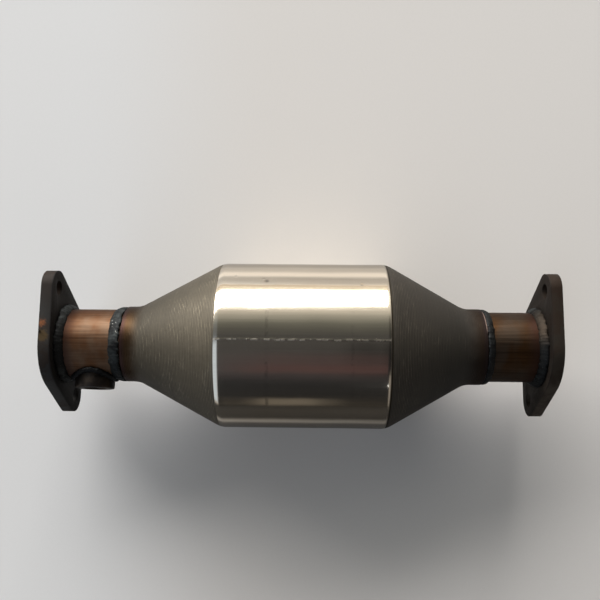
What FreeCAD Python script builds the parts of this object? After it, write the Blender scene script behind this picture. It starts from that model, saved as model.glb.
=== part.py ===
import FreeCAD, Part
import math
import os

from FreeCAD import Vector

# A catalytic converter: a spun can round a ceramic brick, with a flanged pipe at each end.
# Sizes are millimetres and angles are degrees.
# +X is the way the gas flows, and +Z is up as the converter lies on its can.
# The origin is on the gas axis, halfway between the outer faces of the two flanges.
# Angles about the gas axis start at +Y and grow towards +Z.

# Ceramic brick with square channels, four times as coarse as the real ones
brick_diameter = 105.7
brick_length = 101.6
brick_skin = 1.2
cell_pitch = 5.08
cell_web = 0.7
smallest_cell = 0.25

# Mat wrapped round the brick, and a knitted wire ring at each end of it
mat_gap = 5.65
mat_fit = 0.1
mat_joint_gap = 1.0
mat_joint_angle = 260.0
mat_tongue_angle = 24.0
brick_bare_end = 7.2
ring_width = 5.2
ring_chamfer = 1.0
ring_gap = 0.4

# Can, one welded tube spun down to a cone and a neck at each end
can_wall = 1.5
can_past_brick = 8.3
shoulder_bend = 15.0
inlet_cone_length = 61.4
outlet_cone_length = 56.9
cone_wall = 1.7
throat_bend = 18.0
inlet_neck_length = 9.7
outlet_neck_length = 12.8
neck_wall = 2.0

# Seam of the tube that the can is spun from
seam_angle = 87.0
seam_width = 2.4
seam_height = 0.15

# Pipes, which slip into the necks and stop short of the cones and of the sealing faces
pipe_diameter = 50.8
pipe_wall = 1.5
inlet_pipe_bare = 46.2
outlet_pipe_bare = 41.4
neck_slip = 0.3
pipe_end_gap = 1.0
pipe_setback = 1.5

# Flanges, two bolts each, cut from plate
flange_thickness = 8.3
flange_rim = 9.6
flange_edge = 0.5
flange_slip = 0.2
bolt_spacing = 88.9
bolt_hole_diameter = 10.4
bolt_hole_rim = 7.15
flange_roll = 27.2

# Boss for an oxygen sensor, coped to sit halfway along the bare inlet pipe
boss_diameter = 28.0
boss_height = 7.8
boss_angle = 172.0
boss_edge = 0.8
thread_bore = 16.38
thread_lead_in = 0.5
sensor_hole_margin = 2.0

# Weld beads
flange_weld_length = 6.5
flange_weld_height = 4.2
inlet_neck_weld_length = 9.3
outlet_neck_weld_length = 5.8
bead_crown = 0.4
boss_weld_size = 3.6

# Radii that follow from the sizes above
brick_radius = brick_diameter / 2
can_bore = brick_radius + mat_gap
can_radius = can_bore + can_wall
pipe_radius = pipe_diameter / 2
pipe_bore = pipe_radius - pipe_wall
neck_bore = pipe_radius + neck_slip
neck_radius = neck_bore + neck_wall
hub_radius = pipe_radius + flange_rim
ear_radius = bolt_hole_diameter / 2 + bolt_hole_rim

# Places along the gas axis, from the inlet's sealing face to the outlet's
can_length = brick_length + 2 * can_past_brick
inlet_length = flange_thickness + inlet_pipe_bare + inlet_neck_length + inlet_cone_length
outlet_length = flange_thickness + outlet_pipe_bare + outlet_neck_length + outlet_cone_length
overall_length = inlet_length + can_length + outlet_length
outlet_sealing_face = overall_length / 2
inlet_sealing_face = -outlet_sealing_face
inlet_flange_back = inlet_sealing_face + flange_thickness
inlet_lip = inlet_flange_back + inlet_pipe_bare
inlet_throat = inlet_lip + inlet_neck_length
inlet_shoulder = inlet_throat + inlet_cone_length
outlet_shoulder = inlet_shoulder + can_length
outlet_throat = outlet_shoulder + outlet_cone_length
outlet_lip = outlet_throat + outlet_neck_length
outlet_flange_back = outlet_lip + outlet_pipe_bare
brick_middle = (inlet_shoulder + outlet_shoulder) / 2
mat_length = brick_length - 2 * (brick_bare_end + ring_width + ring_gap)
boss_place = (inlet_flange_back + inlet_lip) / 2
boss_reach = pipe_radius + boss_height

# Modelling aids: how far cutters run past what they cut, and how near counts as touching
cut_past = 1.0
near = 0.01

GAS_AXIS = Vector(1, 0, 0)
ORIGIN = Vector(0, 0, 0)


def radial(angle):
    # Unit vector square to the gas axis
    turn = math.radians(angle)
    return Vector(0, math.cos(turn), math.sin(turn))


def bend_edges(before, corner, after, bend):
    # Tangent arc at a corner, with the two points where it starts and ends
    back = (before - corner).normalize()
    ahead = (after - corner).normalize()
    half_angle = back.getAngle(ahead) / 2
    run = bend / math.tan(half_angle)
    middle_line = (back + ahead).normalize()
    start = corner + back * run
    end = corner + ahead * run
    middle = corner + middle_line * (bend / math.sin(half_angle) - bend)
    return start, end, Part.Arc(start, middle, end).toShape()


def rounded_loop(corners):
    # Closed wire through (x, radius, bend) corners in the half plane above the gas axis
    points = [Vector(x, 0, radius) for x, radius, bend in corners]
    count = len(points)
    starts, ends, arcs = [], [], []
    for index, (x, radius, bend) in enumerate(corners):
        corner = points[index]
        if bend:
            before, after = points[index - 1], points[(index + 1) % count]
            start, end, arc = bend_edges(before, corner, after, bend)
        else:
            start, end, arc = corner, corner, None
        starts.append(start)
        ends.append(end)
        arcs.append(arc)
    edges = []
    for index in range(count):
        if arcs[index]:
            edges.append(arcs[index])
        edges.append(Part.makeLine(ends[index], starts[(index + 1) % count]))
    return Part.Wire(edges)


def turned(corners):
    # Solid of revolution round the gas axis
    return Part.Face(rounded_loop(corners)).revolve(ORIGIN, GAS_AXIS, 360)


def tube(start, end, outer, inner):
    # Plain ring from one place on the gas axis to another
    corners = [(start, inner, 0), (start, outer, 0), (end, outer, 0), (end, inner, 0)]
    return turned(corners)


def rod(start, end, radius):
    # Cylinder along the gas axis
    return Part.makeCylinder(radius, end - start, Vector(start, 0, 0), GAS_AXIS)


def sector(start, end, outer, inner, angle, width):
    # Part of a ring, from an angle on through a width
    corners = [(start, inner, 0), (start, outer, 0), (end, outer, 0), (end, inner, 0)]
    face = Part.Face(rounded_loop(corners))
    face.rotate(ORIGIN, GAS_AXIS, angle - 90)
    return face.revolve(ORIGIN, GAS_AXIS, width)


def cone_slope(cone_length):
    # Angle between a cone's wall and the gas axis, in radians
    return math.atan2(can_radius - neck_radius, cone_length)


def inner_shift(cone_length, wall):
    # How far the inner corner of a bend lies towards the brick from its outer corner
    slope = cone_slope(cone_length)
    return (cone_wall - wall * math.cos(slope)) / math.sin(slope)


def shell_corners():
    # Section of the can's wall: outer line from inlet to outlet, then the inner line back
    inlet_inner_shoulder = inlet_shoulder + inner_shift(inlet_cone_length, can_wall)
    inlet_inner_throat = inlet_throat + inner_shift(inlet_cone_length, neck_wall)
    outlet_inner_shoulder = outlet_shoulder - inner_shift(outlet_cone_length, can_wall)
    outlet_inner_throat = outlet_throat - inner_shift(outlet_cone_length, neck_wall)
    inner_shoulder_bend = shoulder_bend - can_wall
    inner_throat_bend = throat_bend + neck_wall
    return [
        (inlet_lip, neck_radius, 0),
        (inlet_throat, neck_radius, throat_bend),
        (inlet_shoulder, can_radius, shoulder_bend),
        (outlet_shoulder, can_radius, shoulder_bend),
        (outlet_throat, neck_radius, throat_bend),
        (outlet_lip, neck_radius, 0),
        (outlet_lip, neck_bore, 0),
        (outlet_inner_throat, neck_bore, inner_throat_bend),
        (outlet_inner_shoulder, can_bore, inner_shoulder_bend),
        (inlet_inner_shoulder, can_bore, inner_shoulder_bend),
        (inlet_inner_throat, neck_bore, inner_throat_bend),
        (inlet_lip, neck_bore, 0),
    ]


def seam_ridge():
    # Low rounded bead along the straight of the can, sunk to the middle of the wall
    half = seam_width / 2
    curve = (half * half + seam_height * seam_height) / (2 * seam_height)
    start = inlet_shoulder + shoulder_bend * math.tan(cone_slope(inlet_cone_length) / 2)
    end = outlet_shoulder - shoulder_bend * math.tan(cone_slope(outlet_cone_length) / 2)
    place = radial(seam_angle) * (can_radius + seam_height - curve)
    bead = Part.makeCylinder(curve, end - start, place + Vector(start, 0, 0), GAS_AXIS)
    core = rod(start - cut_past, end + cut_past, can_radius - can_wall / 2)
    return bead.cut(core)


def can_shell():
    return turned(shell_corners()).fuse(seam_ridge())


def boss_axis():
    # Way the sensor leaves
    return radial(boss_angle)


def boss_bar(radius):
    # Round bar from the gas axis out to the mouth of the boss
    return Part.makeCylinder(radius, boss_reach, Vector(boss_place, 0, 0), boss_axis())


def inlet_pipe():
    # Tube with a hole under the boss for the sensor's nose
    start = inlet_sealing_face + pipe_setback
    end = inlet_throat - pipe_end_gap
    hole = boss_bar(thread_bore / 2 + sensor_hole_margin)
    return tube(start, end, pipe_radius, pipe_bore).cut(hole)


def outlet_pipe():
    start = outlet_throat + pipe_end_gap
    end = outlet_sealing_face - pipe_setback
    return tube(start, end, pipe_radius, pipe_bore)


def sensor_boss():
    # Coped bar with a chamfered mouth, bored to the core of its thread
    bar = boss_bar(boss_diameter / 2)
    mouth = Vector(boss_place, 0, 0) + boss_axis() * boss_reach
    rims = [edge for edge in bar.Edges if edge.CenterOfMass.distanceToPoint(mouth) < near]
    bar = bar.makeChamfer(boss_edge, rims)
    bore_radius = thread_bore / 2
    lead_start = mouth - boss_axis() * thread_lead_in
    lead = Part.makeCone(bore_radius, bore_radius + thread_lead_in, thread_lead_in,
                         lead_start, boss_axis())
    seat = rod(boss_place - boss_diameter, boss_place + boss_diameter, pipe_radius)
    return bar.cut(seat).cut(boss_bar(bore_radius)).cut(lead)


def flange_outline():
    # Round hub with an ear above and below it, joined by tangent lines
    ear = bolt_spacing / 2
    hub, tip = hub_radius, ear_radius
    lean = math.acos((hub - tip) / ear)
    across, along = math.sin(lean), math.cos(lean)

    def point(y, z):
        return Vector(0, y, z)

    edges = []
    for side in (1, -1):
        tangent_hub = point(side * hub * along, side * hub * across)
        tangent_ear = point(side * (ear + tip * along), side * tip * across)
        far_ear = point(side * (ear + tip * along), -side * tip * across)
        far_hub = point(side * hub * along, -side * hub * across)
        edges.append(Part.makeLine(tangent_hub, tangent_ear))
        edges.append(Part.Arc(tangent_ear, point(side * (ear + tip), 0), far_ear).toShape())
        edges.append(Part.makeLine(far_ear, far_hub))
        next_hub = point(-side * hub * along, -side * hub * across)
        edges.append(Part.Arc(far_hub, point(0, -side * hub), next_hub).toShape())
    return Part.Wire(edges)


def flange_blank():
    # Plate with one broken edge, from x = 0 to its thickness, ears along Y
    plate = Part.Face(flange_outline()).extrude(GAS_AXIS * flange_thickness)
    rim = [edge for edge in plate.Edges if edge.BoundBox.XMin > flange_thickness - near]
    return plate.makeChamfer(flange_edge, rim)


def drilled_flange():
    # Blank bored for the pipe and drilled for two bolts, ears still along Y
    plate = flange_blank()
    start, end = -cut_past, flange_thickness + cut_past
    plate = plate.cut(rod(start, end, pipe_radius + flange_slip))
    for side in (1, -1):
        hole = rod(start, end, bolt_hole_diameter / 2)
        hole.translate(Vector(0, side * bolt_spacing / 2, 0))
        plate = plate.cut(hole)
    return plate


def inlet_flange():
    plate = drilled_flange()
    plate.rotate(ORIGIN, GAS_AXIS, flange_roll)
    plate.translate(Vector(inlet_sealing_face, 0, 0))
    return plate


def outlet_flange():
    # Turned end for end, so the broken edge faces the can on both flanges
    plate = drilled_flange()
    plate.rotate(ORIGIN, Vector(0, 1, 0), 180)
    plate.rotate(ORIGIN, GAS_AXIS, flange_roll)
    plate.translate(Vector(outlet_sealing_face, 0, 0))
    return plate


def bead(root, toe, height):
    # Fillet bead on a pipe: root on a face that stands up from the pipe, toe along the pipe
    corner = Vector(root, 0, pipe_radius)
    low = Vector(toe, 0, pipe_radius)
    high = Vector(root, 0, pipe_radius + height)
    outward = Vector(math.copysign(height, toe - root), 0, abs(toe - root)).normalize()
    middle = (low + high) * 0.5 + outward * bead_crown
    face_line = Part.Arc(low, middle, high).toShape()
    section = Part.Wire([Part.makeLine(corner, low), face_line, Part.makeLine(high, corner)])
    return Part.Face(section).revolve(ORIGIN, GAS_AXIS, 360)


def inlet_flange_weld():
    # Bead that stops at the boss wherever the two would meet
    toe = inlet_flange_back + flange_weld_length
    return bead(inlet_flange_back, toe, flange_weld_height).cut(boss_bar(boss_diameter / 2))


def outlet_flange_weld():
    return bead(outlet_flange_back, outlet_flange_back - flange_weld_length, flange_weld_height)


def inlet_neck_weld():
    # Bead that stops at the boss wherever the two would meet
    toe = inlet_lip - inlet_neck_weld_length
    return bead(inlet_lip, toe, neck_wall + neck_slip).cut(boss_bar(boss_diameter / 2))


def outlet_neck_weld():
    return bead(outlet_lip, outlet_lip + outlet_neck_weld_length, neck_wall + neck_slip)


def sensor_boss_weld():
    # Fillet in the saddle between boss and pipe, cut back where the pipe's end beads cross it
    reach = 2 * boss_diameter
    pipe_bar = rod(boss_place - reach, boss_place + reach, pipe_radius)
    bar = boss_bar(boss_diameter / 2)
    joined = pipe_bar.fuse(bar).removeSplitter()
    on_both = [edge for edge in joined.Edges if edge_on_saddle(edge)]
    filled = joined.makeChamfer(boss_weld_size, on_both)
    saddle = filled.cut(pipe_bar).cut(bar)
    return saddle.cut(inlet_neck_weld()).cut(inlet_flange_weld())


def edge_on_saddle(edge):
    # True for an edge that runs on the pipe's skin and round the boss
    axis = boss_axis()
    for share in (0.2, 0.5, 0.8):
        first, last = edge.ParameterRange
        point = edge.valueAt(first + share * (last - first))
        off_gas_axis = math.hypot(point.y, point.z)
        from_boss = point - Vector(boss_place, 0, 0)
        off_boss_axis = (from_boss - axis * from_boss.dot(axis)).Length
        if abs(off_gas_axis - pipe_radius) > near:
            return False
        if abs(off_boss_axis - boss_diameter / 2) > near:
            return False
    return True


def square_face(y, z, side):
    # Square across the gas axis, from its lowest corner
    corners = [Vector(0, y, z), Vector(0, y + side, z)]
    corners += [Vector(0, y + side, z + side), Vector(0, y, z + side), Vector(0, y, z)]
    return Part.Face(Part.makePolygon(corners))


def cell_faces():
    # Square cells on the brick's grid, cut off by the skin, without those left too small
    side = cell_pitch - cell_web
    skin_radius = brick_radius - brick_skin
    count = math.ceil(skin_radius / cell_pitch)
    squares = []
    for row in range(-count, count + 1):
        for column in range(-count, count + 1):
            y = column * cell_pitch - side / 2
            z = row * cell_pitch - side / 2
            squares.append(square_face(y, z, side))
    disc = Part.Face(Part.Wire(Part.makeCircle(skin_radius, ORIGIN, GAS_AXIS)))
    cells = Part.makeCompound(squares).common(disc)
    return [cell for cell in cells.Faces if cell.Area > smallest_cell * side * side]


def substrate():
    # Round face with all its cells as holes, drawn out to the brick's length
    rim = Part.Wire(Part.makeCircle(brick_radius, ORIGIN, GAS_AXIS))
    wires = [rim] + [cell.OuterWire for cell in cell_faces()]
    end_face = Part.makeFace(wires, "Part::FaceMakerBullseye")
    brick = end_face.extrude(GAS_AXIS * brick_length)
    brick.translate(Vector(brick_middle - brick_length / 2, 0, 0))
    return brick


def mat_slot():
    # Gap where the ends of the wrapped mat meet, with a tongue over the middle third
    outer, inner = can_radius, brick_radius - cut_past
    start = brick_middle - mat_length / 2 - cut_past
    end = brick_middle + mat_length / 2 + cut_past
    third = mat_length / 3
    tongue_start, tongue_end = brick_middle - third / 2, brick_middle + third / 2
    gap_angle = math.degrees(mat_joint_gap / brick_radius)
    far_angle = mat_joint_angle + mat_tongue_angle
    bridge = mat_tongue_angle + gap_angle
    slot = sector(start, tongue_start, outer, inner, mat_joint_angle, gap_angle)
    pieces = [
        sector(tongue_end, end, outer, inner, mat_joint_angle, gap_angle),
        sector(tongue_start, tongue_end, outer, inner, far_angle, gap_angle),
        sector(tongue_start, tongue_start + mat_joint_gap, outer, inner, mat_joint_angle, bridge),
        sector(tongue_end - mat_joint_gap, tongue_end, outer, inner, mat_joint_angle, bridge),
    ]
    return slot.fuse(pieces)


def support_mat():
    start = brick_middle - mat_length / 2
    end = brick_middle + mat_length / 2
    sleeve = tube(start, end, can_bore - mat_fit, brick_radius + mat_fit)
    return sleeve.cut(mat_slot())


def seal_ring(start):
    # Knitted wire ring pressed between brick and can, its corners cut off
    end = start + ring_width
    outer, inner = can_bore - mat_fit, brick_radius + mat_fit
    corners = [
        (start, inner + ring_chamfer, 0),
        (start, outer - ring_chamfer, 0),
        (start + ring_chamfer, outer, 0),
        (end - ring_chamfer, outer, 0),
        (end, outer - ring_chamfer, 0),
        (end, inner + ring_chamfer, 0),
        (end - ring_chamfer, inner, 0),
        (start + ring_chamfer, inner, 0),
    ]
    return turned(corners)


def inlet_seal_ring():
    return seal_ring(brick_middle - mat_length / 2 - ring_gap - ring_width)


def outlet_seal_ring():
    return seal_ring(brick_middle + mat_length / 2 + ring_gap)


def save(name, shape):
    # One solid in one file
    solid = shape.Solids[0]
    print(name, "solids:", len(shape.Solids), "valid:", solid.isValid())
    solid.exportStep(os.path.join("parts", name + ".step"))


PIECES = [
    can_shell,
    substrate,
    support_mat,
    inlet_seal_ring,
    outlet_seal_ring,
    inlet_pipe,
    outlet_pipe,
    inlet_flange,
    outlet_flange,
    sensor_boss,
    inlet_flange_weld,
    outlet_flange_weld,
    inlet_neck_weld,
    outlet_neck_weld,
    sensor_boss_weld,
]

os.makedirs("parts", exist_ok=True)
for piece in PIECES:
    save(piece.__name__, piece())
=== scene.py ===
import logging
import math
import random
from collections.abc import Callable, Iterator, Sequence
from contextlib import contextmanager
from dataclasses import dataclass, field
from enum import Enum
from functools import cached_property, partialmethod

import bmesh
import bpy
from mathutils import Matrix, Vector, noise


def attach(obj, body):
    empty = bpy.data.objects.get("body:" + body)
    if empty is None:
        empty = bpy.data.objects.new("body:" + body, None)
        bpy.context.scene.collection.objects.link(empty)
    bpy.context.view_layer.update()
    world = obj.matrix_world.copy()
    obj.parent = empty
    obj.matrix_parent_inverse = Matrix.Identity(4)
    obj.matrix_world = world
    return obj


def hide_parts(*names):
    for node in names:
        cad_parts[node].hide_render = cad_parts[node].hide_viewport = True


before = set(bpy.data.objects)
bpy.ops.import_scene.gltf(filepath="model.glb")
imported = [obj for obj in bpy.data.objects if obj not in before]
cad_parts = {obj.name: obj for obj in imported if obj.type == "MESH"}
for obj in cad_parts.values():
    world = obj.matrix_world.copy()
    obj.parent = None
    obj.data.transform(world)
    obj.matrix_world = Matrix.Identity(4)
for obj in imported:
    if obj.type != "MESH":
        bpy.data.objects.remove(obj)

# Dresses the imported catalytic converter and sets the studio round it.
# Lengths are metres in the frame of the CAD: +X along the gas flow, +Z up as the converter lies.
# Angles round the gas axis start at +Y and grow towards +Z.

logging.basicConfig(level=logging.INFO, format="%(message)s")
LOG = logging.getLogger("converter")

MM = 0.001
MERGE = 1e-6
BODY = "root"
SEED = 11

Outline = list[tuple[float, float]]
Colour = tuple[float, float, float]
Place = tuple[float, float, float]


class Slot(Enum):
    """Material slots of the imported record, for the pieces that are made here."""

    CAN = "can_steel"
    PIPE = "pipe_steel"
    FLANGE = "flange_steel"
    BOSS = "boss_steel"
    WELD = "weld_metal"
    BRICK = "brick_ceramic"


class End(Enum):
    """The two ends of the converter, as the sign of X on each."""

    INLET = -1
    OUTLET = 1


# ---- Shader tools


class Signal:
    """A number that runs through a shader, with Python's operators as Math nodes."""

    def __init__(self, nodes: "Nodes", socket: bpy.types.NodeSocket) -> None:
        """Wrap an output socket of a node tree."""
        self.nodes = nodes
        self.socket = socket

    def math(self, operation: str, *others: "Signal | float", first: bool = True) -> "Signal":
        """Add a Math node.

        Args:
            operation: The node's operation.
            others: The other operands.
            first: Whether this value is the first operand.

        Returns:
            The node's result.
        """
        values = [self, *others] if first else [*others, self]
        node = self.nodes.add("ShaderNodeMath", {"operation": operation}, dict(enumerate(values)))
        return Signal(self.nodes, node.outputs[0])

    __add__ = __radd__ = partialmethod(math, "ADD")
    __sub__ = partialmethod(math, "SUBTRACT")
    __rsub__ = partialmethod(math, "SUBTRACT", first=False)
    __mul__ = __rmul__ = partialmethod(math, "MULTIPLY")
    __truediv__ = partialmethod(math, "DIVIDE")
    __rtruediv__ = partialmethod(math, "DIVIDE", first=False)
    __pow__ = partialmethod(math, "POWER")
    higher = partialmethod(math, "MAXIMUM")
    lower = partialmethod(math, "MINIMUM")

    def ease(self, start: float, end: float) -> "Signal":
        """Smooth step, 0 where the value is at start and 1 where it is at end.

        Args:
            start: Value that gives 0.
            end: Value that gives 1.

        Returns:
            The step, which stays between 0 and 1.
        """
        node = self.nodes.add(
            "ShaderNodeMapRange",
            {"interpolation_type": "SMOOTHSTEP"},
            {0: self, 1: start, 2: end, 3: 0.0, 4: 1.0},
        )
        return Signal(self.nodes, node.outputs[0])

    def band(self, start: float, end: float, soft: float) -> "Signal":
        """1 between two values and 0 outside them, with soft edges.

        Args:
            start: Lower edge.
            end: Upper edge.
            soft: Half the width of each edge.

        Returns:
            The band.
        """
        return self.ease(start - soft, start + soft) * (1 - self.ease(end - soft, end + soft))


class Nodes:
    """The node tree of one material or world, and the few kinds of node that it needs."""

    def __init__(self, tree: bpy.types.NodeTree) -> None:
        """Start from an empty tree."""
        self.tree = tree
        tree.nodes.clear()

    def add(self, kind: str, settings: dict | None = None, sockets: dict | None = None) -> bpy.types.Node:
        """Add any node.

        Args:
            kind: The node's type.
            settings: Its own settings, such as an operation, or a ramp's stops.
            sockets: Input name or index to a value, a colour, a Signal or an output socket.

        Returns:
            The new node.
        """
        node = self.tree.nodes.new(kind)
        for name, value in (settings or {}).items():
            if name == "stops":
                self.set_stops(node.color_ramp, value)
            else:
                setattr(node, name, value)
        for name, value in (sockets or {}).items():
            self.feed(node.inputs[name], value)
        return node

    def feed(self, socket: bpy.types.NodeSocket, value: object) -> None:
        """Link a socket, or set its constant."""
        if isinstance(value, Signal):
            value = value.socket
        if isinstance(value, bpy.types.NodeSocket):
            self.tree.links.new(value, socket)
        elif isinstance(value, tuple) and socket.type == "RGBA":
            socket.default_value = (*value[:3], 1.0)
        else:
            socket.default_value = value

    @staticmethod
    def set_stops(ramp: bpy.types.ColorRamp, stops: Sequence[tuple[float, Colour]]) -> None:
        """Give a ramp its stops.

        Args:
            ramp: The ramp.
            stops: Each stop's place and colour.
        """
        while len(ramp.elements) > 1:
            ramp.elements.remove(ramp.elements[-1])
        ramp.elements[0].position = stops[0][0]
        ramp.elements[0].color = (*stops[0][1], 1.0)
        for place, colour in stops[1:]:
            ramp.elements.new(place).color = (*colour, 1.0)

    @cached_property
    def place(self) -> bpy.types.NodeSocket:
        """Position in the converter's frame."""
        return self.add("ShaderNodeTexCoord").outputs["Object"]

    @cached_property
    def axes(self) -> tuple[Signal, Signal, Signal]:
        """The three parts of the position."""
        return self.split(self.place)

    def split(self, vector: bpy.types.NodeSocket) -> tuple[Signal, Signal, Signal]:
        """The three parts of a vector."""
        node = self.add("ShaderNodeSeparateXYZ", None, {0: vector})
        return tuple(Signal(self, output) for output in node.outputs)

    def grain(self, scale: float | Place, detail: float = 2.0, rough: float = 0.5) -> Signal:
        """Noise texture.

        Args:
            scale: Features per metre, or those along each axis.
            detail: Octaves.
            rough: Weight of the finer octaves.

        Returns:
            The noise, about 0.5 on average.
        """
        vector = self.place
        if isinstance(scale, tuple):
            stretch = self.add("ShaderNodeVectorMath", {"operation": "MULTIPLY"}, {0: vector, 1: scale})
            vector, scale = stretch.outputs[0], 1.0
        sockets = {"Vector": vector, "Scale": scale, "Detail": detail, "Roughness": rough}
        return Signal(self, self.add("ShaderNodeTexNoise", None, sockets).outputs[0])

    def blobs(self, scale: float) -> Signal:
        """Distance to the nearest of scattered points, in cells."""
        node = self.add("ShaderNodeTexVoronoi", None, {"Vector": self.place, "Scale": scale})
        return Signal(self, node.outputs["Distance"])

    def distance(self, point: Place) -> Signal:
        """Distance to a point, in metres."""
        node = self.add("ShaderNodeVectorMath", {"operation": "DISTANCE"}, {0: self.place, 1: point})
        return Signal(self, node.outputs["Value"])

    def ray(self, kind: str) -> Signal:
        """1 for one kind of ray, such as the camera's, and 0 for all others."""
        return Signal(self, self.add("ShaderNodeLightPath").outputs[kind])

    def blend(self, share: Signal | float, first: object, second: object) -> bpy.types.NodeSocket:
        """Mix two colours.

        Args:
            share: 0 for the first colour and 1 for the second.
            first: Colour or socket.
            second: Colour or socket.

        Returns:
            The mixed colour.
        """
        return self.add("ShaderNodeMix", {"data_type": "RGBA"}, {0: share, 6: first, 7: second}).outputs[2]

    def shade(self, colour: object, strength: Signal) -> bpy.types.NodeSocket:
        """Make a colour lighter or darker.

        Args:
            colour: Colour or socket.
            strength: Factor, where 1 changes nothing.

        Returns:
            The new colour.
        """
        grey = self.add("ShaderNodeCombineXYZ", None, {0: strength, 1: strength, 2: strength}).outputs[0]
        settings = {"data_type": "RGBA", "blend_type": "MULTIPLY"}
        return self.add("ShaderNodeMix", settings, {0: 1.0, 6: colour, 7: grey}).outputs[2]

    def bump(self, height: Signal, depth: float, under: object = None) -> bpy.types.NodeSocket:
        """Turn a height into a normal.

        Args:
            height: The height, in units of depth.
            depth: Metres for a height of 1.
            under: A normal that this bump lies on.

        Returns:
            The normal.
        """
        sockets = {"Height": height, "Distance": depth, "Strength": 1.0}
        if under is not None:
            sockets["Normal"] = under
        return self.add("ShaderNodeBump", None, sockets).outputs[0]


class Finish:
    """A surface finish that paints one material."""

    name: str

    def paint(self, nodes: Nodes) -> dict[str, object]:
        """Say what the shader's sockets get."""
        raise NotImplementedError

    def surface(self, nodes: Nodes) -> bpy.types.NodeSocket:
        """The painted shader."""
        return nodes.add("ShaderNodeBsdfPrincipled", None, self.paint(nodes)).outputs[0]

    def material(self) -> bpy.types.Material:
        """Build the material, once.

        Returns:
            The material.
        """
        made = bpy.data.materials.get(self.name)
        if not made:
            made = bpy.data.materials.new(self.name)
            made.use_nodes = True
            nodes = Nodes(made.node_tree)
            nodes.add("ShaderNodeOutputMaterial", None, {0: self.surface(nodes)})
        return made


# ---- Finishes


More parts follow.
